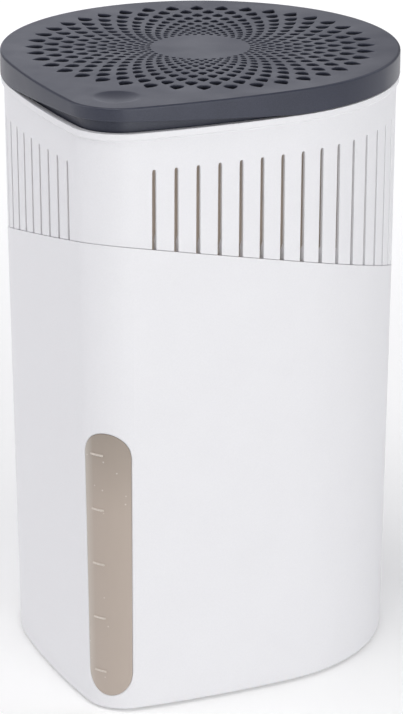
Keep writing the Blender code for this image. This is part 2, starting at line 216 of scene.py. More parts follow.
# Studio. Three strengths of softbox light the object: key, fill and dim. A softbox is (azimuth,
# elevation, strength, tint), in degrees, with azimuth 0 in front of the corner and 90 to its right.
WHITE = (1, 1, 1)
SHADE_TINT = (0.975, 0.965, 1.0)
BACK_TINT = (0.88, 0.90, 1.0)
KEY = 3.2
FILL = 1.1
DIM = 0.6
SOFTBOX_SIZE = 0.7
SOFTBOX_DISTANCE = 1.3
SOFTBOXES = {
    "overhead_front": (0, 70, KEY, WHITE),
    "key_right": (45, 14, KEY, WHITE),
    "edge_right": (75, 14, FILL, WHITE),
    "side_left": (-75, 42, FILL, SHADE_TINT),
    "low_side_left": (-75, 14, FILL, SHADE_TINT),
    "front_left": (-45, 42, DIM, SHADE_TINT),
    "low_front_left": (-45, 14, DIM, SHADE_TINT),
    "back_left": (-150, 14, DIM, BACK_TINT),
    "back_right": (150, 42, FILL, BACK_TINT),
}
STUDIO_BRIGHTNESS = 0.3
FLOOR_HALF = 4.0
FLOOR_GLOW = 0.1
FLOOR_SPOT = 120
FLOOR_SPOT_PLACE = (-0.45, 2.2, 2.2)
FLOOR_SPOT_TILT = math.radians(-10)
FLOOR_SPOT_CONE = math.radians(75)
BASKET_FILL = 1.7
BASKET_FILL_SPREAD = math.radians(60)
BASKET_FILL_TILT = math.radians(80)

# Camera: where it stands round the object, how far it looks down, and its lens in millimetres
CAMERA_AZIMUTH = 21.24
CAMERA_PITCH = 19.18
CAMERA_DISTANCE = 1.244
CAMERA_SIDE = 0.5 * MM
CAMERA_HEIGHT = 0.5455
CAMERA_LENS = 166.0


# ---------------------------------------------------------------- outline

def flank_geometry():
    """Centre of the right flank's arc, and its normal's angle where it meets each end arc."""
    to_circle = FLANK_RADIUS - LID_RADIUS
    to_corner = FLANK_RADIUS - CORNER_RADIUS
    y = (to_corner ** 2 - to_circle ** 2 - CORNER_DISTANCE ** 2) / (2 * CORNER_DISTANCE)
    x = -math.sqrt(to_circle ** 2 - y ** 2)
    return x, y, math.atan2(-y, -x), math.atan2(-CORNER_DISTANCE - y, -x)


FLANK_X, FLANK_Y, CIRCLE_ANGLE, CORNER_ANGLE = flank_geometry()
CORNER_LENGTH = CORNER_RADIUS * (CORNER_ANGLE + math.pi / 2)
FLANK_LENGTH = FLANK_RADIUS * (CIRCLE_ANGLE - CORNER_ANGLE)
HALF_PERIMETER = CORNER_LENGTH + FLANK_LENGTH + LID_RADIUS * (math.pi / 2 - CIRCLE_ANGLE)


def wrapped(along):
    """A length along the outline, brought between minus and plus half the perimeter."""
    return (along + HALF_PERIMETER) % (2 * HALF_PERIMETER) - HALF_PERIMETER


def plan_point(along, inset):
    """The point at a length along the lid's outline, moved inwards by an inset."""
    along = wrapped(along)
    length = abs(along)
    if length < CORNER_LENGTH:
        centre_x, centre_y, radius = 0, -CORNER_DISTANCE, CORNER_RADIUS
        angle = -math.pi / 2 + length / CORNER_RADIUS
    elif length < CORNER_LENGTH + FLANK_LENGTH:
        centre_x, centre_y, radius = FLANK_X, FLANK_Y, FLANK_RADIUS
        angle = CORNER_ANGLE + (length - CORNER_LENGTH) / FLANK_RADIUS
    else:
        centre_x, centre_y, radius = 0, 0, LID_RADIUS
        angle = CIRCLE_ANGLE + (length - CORNER_LENGTH - FLANK_LENGTH) / LID_RADIUS
    x = centre_x + (radius - inset) * math.cos(angle)
    y = centre_y + (radius - inset) * math.sin(angle)
    return math.copysign(1, along) * x, CENTRE_Y + y


def steps_between(start, end, longest):
    """Even steps from start up to, and not including, end, none longer than longest."""
    count = math.ceil((end - start) / longest)
    return [start + (end - start) * step / count for step in range(count)]


def outline_places():
    """Places all round the outline, closer together at the corner."""
    bend = CORNER_LENGTH + CORNER_MARGIN
    return (steps_between(-HALF_PERIMETER, -bend, COLUMN_STEP)
            + steps_between(-bend, bend, CORNER_COLUMN_STEP)
            + steps_between(bend, HALF_PERIMETER, COLUMN_STEP))


def wall_point(along, inset, height):
    """A point on a wall. The place and the inset may depend on z, and the height on y."""
    z = SEAM_Z if callable(height) else height
    for _ in range(6):
        place = along(z) if callable(along) else along
        x, y = plan_point(place, inset(z) if callable(inset) else inset)
        z = height(y) if callable(height) else height
    return Vector((x, y, z))


def outline_loop(inset, height):
    """A wall's points all round the outline."""
    return [wall_point(along, inset, height) for along in outline_places()]


def seam(shift):
    """Height of the seam's slanted plane, moved up by shift, as a function of y."""
    return lambda y: SEAM_Z - SEAM_SLOPE * (y - CENTRE_Y) + shift


def upper_wall(depth):
    """Inset of the sleeve at a depth behind its outer face, as a function of z."""
    top = RIM_Z - LIP_HEIGHT - LIP_SLOPE_HEIGHT
    return lambda z: UPPER_INSET + UPPER_DRAFT * (top - z) + depth


def lower_wall(depth):
    """Inset of the tank at a depth behind its outer face, as a function of z."""
    return lambda z: BASE_INSET - LOWER_DRAFT * z + depth


# ---------------------------------------------------------------- mesh helpers

def add_piece(name, bm, body, look, stands_for=(), rounding=EDGE_ROUNDING, wide=(), wide_rounding=0):
    """Turn a bmesh into a piece with smooth shading, rounded edges and a finish.

    wide holds the vertices of the edges that get the wide rounding.
    """
    bmesh.ops.remove_doubles(bm, verts=bm.verts, dist=1e-6)
    bmesh.ops.recalc_face_normals(bm, faces=bm.faces)
    widest = max(rounding, wide_rounding)
    weight = bm.edges.layers.float.new("bevel_weight_edge")
    wide = {vertex for vertex in wide if vertex.is_valid}
    for edge in bm.edges:
        if widest and edge.calc_face_angle(0) > SHARP_EDGE:
            is_wide = all(vertex in wide for vertex in edge.verts)
            edge[weight] = (wide_rounding if is_wide else rounding) / widest
    mesh = bpy.data.meshes.new(name)
    bm.to_mesh(mesh)
    bm.free()
    piece = bpy.data.objects.new(name, mesh)
    bpy.context.scene.collection.objects.link(piece)
    mesh.materials.append(look)
    mesh.shade_smooth()
    if widest:
        bevel = piece.modifiers.new("edge_rounding", "BEVEL")
        bevel.width = widest
        bevel.segments = 3
        bevel.limit_method = "WEIGHT"
        bevel.use_clamp_overlap = False
    normals = piece.modifiers.new("flat_faces", "WEIGHTED_NORMAL")
    normals.weight = 100
    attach(piece, body)
    if stands_for:
        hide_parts(*stands_for)


def add_loops(bm, loops, tube=False):
    """Skin closed loops of points. A tube's last loop joins its first."""
    rows = [[bm.verts.new(point) for point in loop] for loop in loops]
    count = len(rows[0])
    pairs = list(zip(rows, rows[1:]))
    if tube:
        pairs.append((rows[-1], rows[0]))
    for first, second in pairs:
        for i in range(count):
            j = (i + 1) % count
            bm.faces.new((first[i], first[j], second[j], second[i]))
    return rows


def add_plate_face(bm, outline, holes, loose_points, height):
    """Fill an outline in plan, around its holes, with triangles raised to height(x, y)."""
    points = []
    loops = []
    for loop in [outline, *holes]:
        loops.append([len(points) + i for i in range(len(loop))])
        points.extend(Vector(point[:2]) for point in loop)
    points.extend(Vector(point) for point in loose_points)
    found, _, triangles, _, _, inside = delaunay_2d_cdt(points, [], loops, 1, 1e-9)
    made = [bm.verts.new((point.x, point.y, height(point.x, point.y))) for point in found]
    for triangle, loops_round_it in zip(triangles, inside):
        if loops_round_it == [0]:
            bm.faces.new([made[i] for i in triangle])
    bmesh.ops.delete(bm, geom=[vertex for vertex in made if not vertex.link_faces], context="VERTS")


def columns_round(openings, reach, arc_steps):
    """Lines round the outline, as (place, turn): plain ones, and a fan across each opening.

    In a fan, turn goes from pi on the opening's left to 0 on its right. Elsewhere it is None.
    """
    clear = reach + 0.6 * MM
    columns = [(along, None) for along in outline_places()
               if all(abs(wrapped(along - place)) > clear for place in openings)]
    for place in openings:
        columns.extend((place, math.pi * (1 - step / arc_steps)) for step in range(arc_steps + 1))
    return sorted(columns, key=lambda column: (column[0], -(column[1] or 0)))


def add_shell(bm, columns, rows, half_width, end_radius, open_bands, footed=False):
    """Skin a wall's outer and inner face, and join them along every open edge.

    rows go up the wall: an outer and an inner (inset, height), and how much of an opening's round
    end the row follows. Openings go through the bands that start at the rows in open_bands. A footed
    wall keeps its lowest row open, for a floor. Returns the vertices by (column, row, face).
    """
    made = {}

    def vertex(column, row, face):
        """The vertex where a column meets a row on one face, made when it is first asked for."""
        if (column, row, face) not in made:
            along, turn = columns[column]
            inset, height = rows[row][face]
            if turn is not None:
                centre = along
                if not callable(height):
                    height += rows[row][2] * end_radius * math.sin(turn)
                along = lambda z: centre + half_width(z) * math.cos(turn)
            made[column, row, face] = bm.verts.new(wall_point(along, inset, height))
        return made[column, row, face]

    borders = {}
    for i, (_, turn) in enumerate(columns):
        j = (i + 1) % len(columns)
        for row in range(len(rows) - 1):
            if row in open_bands and turn:
                continue
            corners = [(i, row), (j, row), (j, row + 1), (i, row + 1)]
            for face in (0, 1):
                bm.faces.new([vertex(*corner, face) for corner in corners])
            for start, end in zip(corners, corners[1:] + corners[:1]):
                key = frozenset((start, end))
                borders[key] = None if key in borders else (start, end)
    for border in filter(None, borders.values()):
        start, end = border
        if not (footed and start[1] == end[1] == 0):
            bm.faces.new([vertex(*start, 0), vertex(*end, 0), vertex(*end, 1), vertex(*start, 1)])
    return made


def foot_loop(made, columns, face):
    """The points of a shell's lowest row, on its outer or inner face."""
    return [made[column, 0, face].co.copy() for column in range(len(columns))]


# ---------------------------------------------------------------- materials

def node_material(name):
    """A new material with its node tree and shader."""
    made = bpy.data.materials.new(name)
    made.use_nodes = True
    tree = made.node_tree
    return made, tree, tree.nodes["Principled BSDF"]


def noise_field(tree, scale, detail=2.0, stretch=(1, 1, 1)):
    """Noise in the object's own coordinates. scale is in features per metre."""
    place = tree.nodes.new("ShaderNodeTexCoord")
    mapping = tree.nodes.new("ShaderNodeMapping")
    mapping.inputs["Scale"].default_value = stretch
    field = tree.nodes.new("ShaderNodeTexNoise")
    field.inputs["Scale"].default_value = scale
    field.inputs["Detail"].default_value = detail
    tree.links.new(place.outputs["Object"], mapping.inputs["Vector"])
    tree.links.new(mapping.outputs["Vector"], field.inputs["Vector"])
    return field.outputs["Fac"]


def blend_colours(tree, factor, stops):
    """A colour ramp over a factor. stops are (place, colour)."""
    ramp = tree.nodes.new("ShaderNodeValToRGB")
    elements = ramp.color_ramp.elements
    while len(elements) < len(stops):
        elements.new(0.5)
    for element, (place, colour) in zip(elements, stops):
        element.position = place
        element.color = (*colour, 1)
    tree.links.new(factor, ramp.inputs["Fac"])
    return ramp.outputs["Color"]


def mix_colours(tree, amount, colour, other):
    """Blend a colour towards another by a linked amount."""
    mix = tree.nodes.new("ShaderNodeMix")
    mix.data_type = "RGBA"
    mix.inputs["B"].default_value = (*other, 1)
    tree.links.new(amount, mix.inputs["Factor"])
    tree.links.new(colour, mix.inputs["A"])
    return mix.outputs["Result"]


def map_range(tree, factor, low, high, from_low=0.0, from_high=1.0):
    """A factor mapped from one range to another, and held within it."""
    node = tree.nodes.new("ShaderNodeMapRange")
    node.inputs["From Min"].default_value = from_low
    node.inputs["From Max"].default_value = from_high
    node.inputs["To Min"].default_value = low
    node.inputs["To Max"].default_value = high
    tree.links.new(factor, node.inputs["Value"])
    return node.outputs["Result"]


def add_bump(tree, shader, height, strength, distance, below=None):
    """Bump from a height field, over another bump's normal if one is given. Returns its normal."""
    bump = tree.nodes.new("ShaderNodeBump")
    bump.inputs["Strength"].default_value = strength
    bump.inputs["Distance"].default_value = distance
    tree.links.new(height, bump.inputs["Height"])
    if below:
        tree.links.new(below, bump.inputs["Normal"])
    tree.links.new(bump.outputs["Normal"], shader.inputs["Normal"])
    return bump.outputs["Normal"]


def moulded_plastic(name, dark, light, roughness, grain, grain_depth, tint=WHITE):
    """Injection-moulded plastic: a fine spark-eroded grain over a slightly uneven tone."""
    made, tree, shader = node_material(name)
    speckle = noise_field(tree, grain, 3.0)
    clouds = noise_field(tree, 60, 2.0)
    tone = tree.nodes.new("ShaderNodeMix")
    tone.inputs["Factor"].default_value = 0.3
    tree.links.new(speckle, tone.inputs["A"])
    tree.links.new(clouds, tone.inputs["B"])
    colour = blend_colours(tree, tone.outputs["Result"], [(0.3, dark), (0.7, light)])
    tree.links.new(colour, shader.inputs["Base Color"])
    rough = map_range(tree, clouds, roughness - 0.04, roughness + 0.04, 0.3, 0.7)
    tree.links.new(rough, shader.inputs["Roughness"])
    shader.inputs["Specular Tint"].default_value = (*tint, 1)
    add_bump(tree, shader, speckle, 0.6, grain_depth)
    return made


def window_look():
    """Smoky taupe plastic with a few specks, and painted light: painted shade darkens it towards the top,
    and a painted reflection pales its left edge.
    """
    made, tree, shader = node_material("window_plastic_look")
    place = tree.nodes.new("ShaderNodeTexCoord")
    axes = tree.nodes.new("ShaderNodeSeparateXYZ")
    tree.links.new(place.outputs["Object"], axes.inputs["Vector"])
    # painted shade: the window's colour darkens towards its top
    height = map_range(tree, axes.outputs["Z"], 0, 1, WINDOW_LOW, WINDOW_HIGH)
    colour = blend_colours(tree, height, [(0.0, WINDOW_LOW_COLOUR), (0.7, WINDOW_SHADE_START_COLOUR),
                                          (1.0, WINDOW_SHADED_TOP_COLOUR)])
    # painted reflection: paler colour along the window's left edge
    edge = map_range(tree, axes.outputs["X"], WINDOW_EDGE_REFLECTION_SHARE, 0, WINDOW_EDGE_REFLECTION_START, WINDOW_EDGE_REFLECTION_END)
    colour = mix_colours(tree, edge, colour, WINDOW_EDGE_REFLECTION_COLOUR)
    specks = tree.nodes.new("ShaderNodeTexVoronoi")
    specks.inputs["Scale"].default_value = 230
    tree.links.new(place.outputs["Object"], specks.inputs["Vector"])
    amount = map_range(tree, specks.outputs["Distance"], 0.35, 0.0, 0.05, 0.09)
    colour = mix_colours(tree, amount, colour, WINDOW_SPECK_COLOUR)
    tree.links.new(colour, shader.inputs["Base Color"])
    rough = map_range(tree, noise_field(tree, 70, 1.0), 0.30, 0.35)
    tree.links.new(rough, shader.inputs["Roughness"])
    return made


def mark_look():
    """The raised level marks, painted a tone lighter than the window: a painted highlight for their edges,
    which catch the light.
    """
    made, tree, shader = node_material("level_mark_highlight_look")
    clouds = noise_field(tree, 900)
    tree.links.new(blend_colours(tree, clouds, MARK_HIGHLIGHT_COLOURS), shader.inputs["Base Color"])
    tree.links.new(map_range(tree, clouds, 0.30, 0.34, 0.3, 0.7), shader.inputs["Roughness"])
    return made


def basket_look():
    """Smoky moulded plastic that lets a little light through."""
    made, tree, shader = node_material("basket_plastic_look")
    clouds = noise_field(tree, 45)
    colour = blend_colours(tree, clouds, [(0.3, BASKET_DARK), (0.7, BASKET_LIGHT)])
    tree.links.new(colour, shader.inputs["Base Color"])
    rough = map_range(tree, clouds, 0.31, 0.38, 0.3, 0.7)
    tree.links.new(rough, shader.inputs["Roughness"])
    shader.inputs["Transmission Weight"].default_value = 0.1
    add_bump(tree, shader, noise_field(tree, 500, 1.0), 0.2, 0.05 * MM)
    return made


def rubber_look():
    """Matt dark rubber with a fine grain."""
    made, tree, shader = node_material("seal_rubber_look")
    grain = noise_field(tree, 1800, 3.0)
    colour = blend_colours(tree, grain, [(0.35, RUBBER_DARK), (0.65, RUBBER_LIGHT)])
    tree.links.new(colour, shader.inputs["Base Color"])
    shader.inputs["Roughness"].default_value = 0.72
    shader.inputs["Sheen Weight"].default_value = 0.1
    add_bump(tree, shader, grain, 0.5, 0.03 * MM)
    return made


def fleece_look(name, crimped=False):
    """Non-woven fleece: crossing fibres, with point bonds, or crimped lines where it is sealed."""
    made, tree, shader = node_material(name)
    along = noise_field(tree, 900, 4.0, (1, 6, 6))
    across = noise_field(tree, 900, 4.0, (6, 1, 6))
    fibres = tree.nodes.new("ShaderNodeMath")
    fibres.operation = "MAXIMUM"
    tree.links.new(along, fibres.inputs[0])
    tree.links.new(across, fibres.inputs[1])
    colour = blend_colours(tree, fibres.outputs["Value"], [(0.4, FLEECE_DARK), (0.75, FLEECE_LIGHT)])
    tree.links.new(colour, shader.inputs["Base Color"])
    shader.inputs["Roughness"].default_value = 0.85
    shader.inputs["Sheen Weight"].default_value = 0.25
    normal = add_bump(tree, shader, fibres.outputs["Value"], 0.7, 0.15 * MM)
    place = tree.nodes.new("ShaderNodeTexCoord")
    if crimped:
        bonds = tree.nodes.new("ShaderNodeTexWave")
        bonds.inputs["Scale"].default_value = 250
        bonds.inputs["Distortion"].default_value = 0.4
        height = bonds.outputs["Fac"]
    else:
        bonds = tree.nodes.new("ShaderNodeTexVoronoi")
        bonds.inputs["Scale"].default_value = 700
        bonds.inputs["Randomness"].default_value = 0.15
        height = map_range(tree, bonds.outputs["Distance"], 0, 1, 0.05, 0.3)
    tree.links.new(place.outputs["Object"], bonds.inputs["Vector"])
    add_bump(tree, shader, height, 0.5, 0.1 * MM, below=normal)
    return made


GREY_PLASTIC = moulded_plastic("grey_plastic_look", GREY_DARK, GREY_LIGHT, roughness=0.36,
                               grain=2200, grain_depth=0.04 * MM, tint=GREY_TINT)
WHITE_PLASTIC = moulded_plastic("white_plastic_look", WHITE_DARK, WHITE_LIGHT, roughness=0.36,
                                grain=1600, grain_depth=0.01 * MM)
WINDOW_PLASTIC = window_look()
RAISED_MARK = mark_look()
BASKET_PLASTIC = basket_look()
RUBBER = rubber_look()
FLEECE = fleece_look("pouch_fleece_look")
SEALED_FLEECE = fleece_look("sealed_fleece_look", crimped=True)


# ---------------------------------------------------------------- lid

def top_surface(x, y):
    """Height of the lid's top: dished towards its middle, with the thumb dimple in the corner."""
    radius = math.hypot(x, y - CENTRE_Y)
    dish = DISH_DEPTH * max(0, 1 - (radius / LID_RADIUS) ** 2)
    sphere = (DIMPLE_RADIUS ** 2 + DIMPLE_DEPTH ** 2) / (2 * DIMPLE_DEPTH)
    reach = math.hypot(x, y - CENTRE_Y + DIMPLE_DISTANCE)
    cap = math.sqrt(max(0, sphere ** 2 - reach ** 2)) - (sphere - DIMPLE_DEPTH)
    dimple = (cap + math.sqrt(cap ** 2 + DIMPLE_SOFTNESS ** 2)) / 2
    return TOP_Z - dish - (dimple if reach < 1.5 * DIMPLE_RADIUS else 0)


def drop_outline(radius, angle, margin):
    """A drop-shaped hole's outline with its point outwards, grown by a margin."""
    scale = radius / OUTER_RING_RADIUS
    shape = []
    for step in range(HOLE_POINTS):
        turn = 2 * math.pi * step / HOLE_POINTS
        forward = HOLE_LENGTH / 2 * math.cos(turn)
        sideways = HOLE_WIDTH / (2 * DROP_WIDEST) * math.sin(turn) * math.sin(turn / 2)
        shape.append(Vector((forward, sideways)) * scale)
    out = Vector((math.cos(angle), math.sin(angle)))
    across = Vector((-out.y, out.x))
    grown = []
    for i, point in enumerate(shape):
        before = point - shape[i - 1]
        after = shape[(i + 1) % HOLE_POINTS] - point
        normal = Vector((before.y, -before.x)).normalized() + Vector((after.y, -after.x)).normalized()
        moved = point + normal.normalized() * margin
        place = out * (radius + moved.x) + across * moved.y
        grown.append((place.x, CENTRE_Y + place.y))
    return grown


def hole_places():
    """Radius and angle of each hole, every second ring turned by half a pitch."""
    pitch = 2 * math.pi / HOLES_PER_RING
    places = []
    for row in range(HOLE_RINGS):
        stagger = 0.5 if row % 2 == 0 else 0.0
        for number in range(HOLES_PER_RING):
            places.append((OUTER_RING_RADIUS / RING_RATIO ** row, -math.pi / 2 + (number + stagger) * pitch))
    return places


def ring_points(centre_y, radii, count):
    """Points on rings round a centre on the middle line."""
    points = []
    for radius in radii:
        for step in range(count):
            turn = 2 * math.pi * (step + 0.5) / count
            points.append((radius * math.cos(turn), centre_y + radius * math.sin(turn)))
    return points


def top_points():
    """Points that carry the dish and the dimple where the lid has no holes."""
    points = [(0, CENTRE_Y)] + ring_points(CENTRE_Y, [4 * MM, 8 * MM, 12 * MM, 16 * MM], 24)
    points += ring_points(CENTRE_Y, [70.5 * MM, 74.0 * MM], 96)
    dimple_y = CENTRE_Y - DIMPLE_DISTANCE
    shares = (0.2, 0.4, 0.6, 0.75, 0.85, 0.91, 0.95, 0.98, 1.01, 1.04, 1.08, 1.14, 1.25)
    points = [point for point in points
              if math.hypot(point[0], point[1] - dimple_y) > 1.4 * DIMPLE_RADIUS]
    points += [(0, dimple_y)] + ring_points(dimple_y, [DIMPLE_RADIUS * share for share in shares], 48)
    return points


def skirt_edge(shift):
    """Height of the skirt's lower edge, which rises towards the corner for a fingertip."""
    return lambda y: RIM_Z + max(0, CENTRE_Y - FINGER_GAP_START - y) * FINGER_GAP_SLOPE + shift


def make_lid():
    """A rounded plate with its holes, a skirt, and a collar underneath that finds the sleeve."""
    bm = bmesh.new()
    under = TOP_Z - PLATE
    loops = []
    for step in range(6):
        turn = math.pi / 2 * step / 5
        loops.append(outline_loop(TOP_EDGE_ROUND * (1 - math.sin(turn)),
                                  TOP_Z - TOP_EDGE_ROUND * (1 - math.cos(turn))))
    low_round = [(LOW_EDGE_ROUND * (1 - math.cos(slant)), LOW_EDGE_ROUND * (1 - math.sin(slant)))
                 for slant in (0, math.pi / 4, math.pi / 2)]
    for inset, rise in low_round:
        loops.append(outline_loop(inset, skirt_edge(rise)))
    for inset, rise in reversed(low_round):
        loops.append(outline_loop(SKIRT_WALL - inset, skirt_edge(rise)))
    loops.append(outline_loop(SKIRT_WALL, under))
    add_loops(bm, loops)
    grown = []
    nominal = []
    for radius, angle in hole_places():
        margin = HOLE_ROUND * radius / OUTER_RING_RADIUS
        levels = [(margin, 0), (margin * 0.3, margin * 0.3), (0, margin)]
        rings = []
        for growth, drop in levels:
            outline = drop_outline(radius, angle, growth)
            rings.append([(x, y, top_surface(x, y) - drop) for x, y in outline])
        rings.append([(x, y, under) for x, y, _ in rings[-1]])
        add_loops(bm, rings)
        grown.append(rings[0])
        nominal.append(rings[-1])
    add_plate_face(bm, loops[0], grown, top_points(), top_surface)
    add_plate_face(bm, loops[-1], nominal, [], lambda x, y: under)
    top_edge = under + 0.2 * MM
    add_loops(bm, [
        outline_loop(COLLAR_INSET, top_edge),
        outline_loop(COLLAR_INSET, RIM_Z - COLLAR_DEPTH),
        outline_loop(COLLAR_INSET + COLLAR_WALL, RIM_Z - COLLAR_DEPTH),
        outline_loop(COLLAR_INSET + COLLAR_WALL, top_edge),
    ], tube=True)
    add_piece("lid_shell", bm, "lid", GREY_PLASTIC, ["lid"], rounding=0)


# ---------------------------------------------------------------- housings

def slot_half_width(z):
    """Half the width of a sleeve slot at a height. The slots widen downwards."""
    return SLOT_TOP_WIDTH / 2 + SLOT_FLARE / 2 * max(0, SLOT_TOP_Z - SLOT_TOP_WIDTH / 2 - z)


def make_upper_housing():
    """A sleeve with a ledge inside. Between its slots, tongues reach down inside the tank's wall."""
    rim = RIM_Z - GAP
    lip_low = RIM_Z - LIP_HEIGHT
    outside = upper_wall(0)
    inside = upper_wall(UPPER_WALL)
    round_z = SLOT_TOP_Z - SLOT_TOP_WIDTH / 2
    above_z = SLOT_TOP_Z + 1.2 * MM
    slope_z = lip_low - LIP_SLOPE_HEIGHT
    tongue_outside = lower_wall(LOWER_WALL + TONGUE_CLEARANCE)
    tongue_inside = lower_wall(LOWER_WALL + TONGUE_CLEARANCE + TONGUE_WALL)
    root = seam(TONGUE_ROOT)
    above_root = seam(TONGUE_ROOT + TONGUE_SLOPE_HEIGHT)
    rows = [
        ((tongue_outside, seam(-TONGUE_DEPTH)), (tongue_inside, seam(-TONGUE_DEPTH)), 0),
        ((tongue_outside, seam(SEAM_GAP / 2)), (tongue_inside, seam(SEAM_GAP / 2)), 0),
        ((outside, seam(SEAM_GAP / 2)), (tongue_inside, root), 0),
        ((outside, above_root), (inside, above_root), 0),
        ((outside, round_z), (inside, round_z), 1),
        ((outside, above_z), (inside, above_z), 0),
        ((UPPER_INSET, slope_z), (inside, slope_z), 0),
        ((LIP_INSET, lip_low), (inside, lip_low), 0),
        ((LIP_INSET, rim), (inside, rim), 0),
    ]
    pitch = (HALF_PERIMETER - FIRST_SLOT) / SLOTS_PER_SIDE
    places = [FIRST_SLOT + number * pitch for number in range(SLOTS_PER_SIDE)]
    openings = [-place for place in places] + places + [HALF_PERIMETER]
    columns = columns_round(openings, slot_half_width(0), SLOT_ARC_STEPS)
    bm = bmesh.new()
    add_shell(bm, columns, rows, slot_half_width, SLOT_TOP_WIDTH / 2, open_bands=(0, 1, 2, 3))
    embedded = upper_wall(UPPER_WALL - 0.3 * MM)
    add_loops(bm, [
        outline_loop(embedded, LEDGE_Z),
        outline_loop(LEDGE_INSET, LEDGE_Z),
        outline_loop(LEDGE_INSET, LEDGE_Z + LEDGE_THICKNESS),
        outline_loop(embedded, LEDGE_Z + LEDGE_THICKNESS),
    ], tube=True)
    add_piece("upper_housing_shell", bm, "sleeve", WHITE_PLASTIC, ["upper_housing"])


def make_lower_housing():
    """A tank on a recessed foot, with the window's opening through its corner."""
    outside = lower_wall(0)
    inside = lower_wall(LOWER_WALL)
    low_z = WINDOW_LOW + WINDOW_HALF
    high_z = WINDOW_HIGH - WINDOW_HALF
    rows = [
        ((BASE_INSET + FOOT_INSET, 0), (inside, FLOOR), 0),
        ((BASE_INSET + FOOT_INSET, FOOT_HEIGHT), (inside, FLOOR + FOOT_SOFTENING), 0),
        ((BASE_INSET + FOOT_SOFTENING, FOOT_HEIGHT), (inside, FLOOR + 2 * FOOT_SOFTENING), 0),
        ((outside, FOOT_HEIGHT + 0.3 * MM), (inside, FLOOR + MM), 0),
        ((outside, low_z), (inside, low_z), -1),
        ((outside, high_z), (inside, high_z), 1),
        ((outside, seam(-SEAM_GAP / 2)), (inside, seam(-SEAM_GAP / 2)), 0),
    ]
    columns = columns_round([0.0], WINDOW_HALF * WINDOW_STRETCH, WINDOW_STEPS)
    bm = bmesh.new()
    made = add_shell(bm, columns, rows, lambda z: WINDOW_HALF * WINDOW_STRETCH, WINDOW_HALF,
                     open_bands=(4,), footed=True)
    for face in (0, 1):
        bm.faces.new([made[column, 0, face] for column in range(len(columns))])
    aperture = [made[column, row, 0] for column, (_, turn) in enumerate(columns) if turn is not None
                for row in (4, 5)]
    add_piece("lower_housing_shell", bm, "tank", WHITE_PLASTIC, ["lower_housing"],
              wide=aperture, wide_rounding=APERTURE_ROUNDING)


# ---------------------------------------------------------------- window

def corner_point(along, z, depth):
    """A point near the corner's wall: along the wall, up it, and behind its outer face."""
    return wall_point(along * WINDOW_STRETCH, lower_wall(depth), z)


def add_corner_solid(bm, columns, outer_depth, inner_depth):
    """A block that follows the corner's wall. Each column is (along, lowest z, highest z)."""
    loops = []
    for along, low, high in columns:
        loops.append([corner_point(along, low, outer_depth), corner_point(along, high, outer_depth),
                      corner_point(along, high, inner_depth), corner_point(along, low, inner_depth)])
    rows = add_loops(bm, loops)
    bm.faces.new(rows[0])
    bm.faces.new(rows[-1])


def stadium_columns(margin):
    """Columns of the window's upright stadium, grown by a margin all round."""
    half = WINDOW_HALF + margin
    low = WINDOW_LOW - margin + half
    high = WINDOW_HIGH + margin - half
    columns = []
    for step in range(WINDOW_STEPS + 1):
        turn = math.pi * step / WINDOW_STEPS
        rise = half * math.sin(turn)
        columns.append((-half * math.cos(turn), low - rise, high + rise))
    return columns


def stadium_loop(margin, depth):
    """The stadium's outline as one closed loop behind the corner's wall."""
    columns = stadium_columns(margin)
    return ([corner_point(along, low, depth) for along, low, _ in columns]
            + [corner_point(along, high, depth) for along, _, high in reversed(columns)])


def make_level_window():
    """A pad that fills the opening, on a flange behind the wall."""
    flange_front = LOWER_WALL + GAP + GASKET_THICKNESS + GAP
    bm = bmesh.new()
    add_corner_solid(bm, stadium_columns(-PAD_GAP), PAD_RECESS, flange_front + 0.5 * MM)
    add_corner_solid(bm, stadium_columns(WINDOW_FLANGE), flange_front, flange_front + FLANGE_THICKNESS)
    add_piece("level_window_pad", bm, "tank", WINDOW_PLASTIC, ["level_window"],
              rounding=PAD_ROUNDING)


def make_level_marks():
    """Short raised lines on the left half of the window."""
    bm = bmesh.new()
    for number in range(MARK_COUNT):
        z = MARK_LOW + number * MARK_PITCH
        places = [MARK_LEFT + (MARK_RIGHT - MARK_LEFT) * step / MARK_STEPS
                  for step in range(MARK_STEPS + 1)]
        columns = [(place, z - MARK_HEIGHT / 2, z + MARK_HEIGHT / 2) for place in places]
        add_corner_solid(bm, columns, PAD_RECESS - MARK_PROUD, PAD_RECESS + 0.2 * MM)
    add_piece("level_marks", bm, "tank", RAISED_MARK, rounding=PAD_ROUNDING)


def make_gasket():
    """A seal with a rounded section, between the tank's wall and the window's flange."""
    front = LOWER_WALL + GAP
    steps = 12
    loops = []
    for step in range(steps):
        turn = 2 * math.pi * step / steps
        margin = GAP + GASKET_WIDTH / 2 * (1 + math.cos(turn))
        bulge = math.copysign(abs(math.sin(turn)) ** 0.5, math.sin(turn))
        loops.append(stadium_loop(margin, front + GASKET_THICKNESS / 2 * (1 + bulge)))
    bm = bmesh.new()
    add_loops(bm, loops, tube=True)
    add_piece("window_gasket_ring", bm, "tank", RUBBER, ["window_gasket"], rounding=0)


# ---------------------------------------------------------------- basket and pouch

def drip_slot(angle):
    """One slot of the fan in the basket's floor, with round ends."""
    out = Vector((math.cos(angle), math.sin(angle)))
    across = Vector((-out.y, out.x))
    points = []
    for start, middle in ((-math.pi / 2, FLOOR_SLOT_END), (math.pi / 2, FLOOR_SLOT_START)):
        for step in range(9):
            turn = start + math.pi * step / 8
            place = out * (middle + FLOOR_SLOT_HALF_WIDTH * math.cos(turn))
            place += across * FLOOR_SLOT_HALF_WIDTH * math.sin(turn)
            points.append((place.x, CENTRE_Y + place.y))
    return points


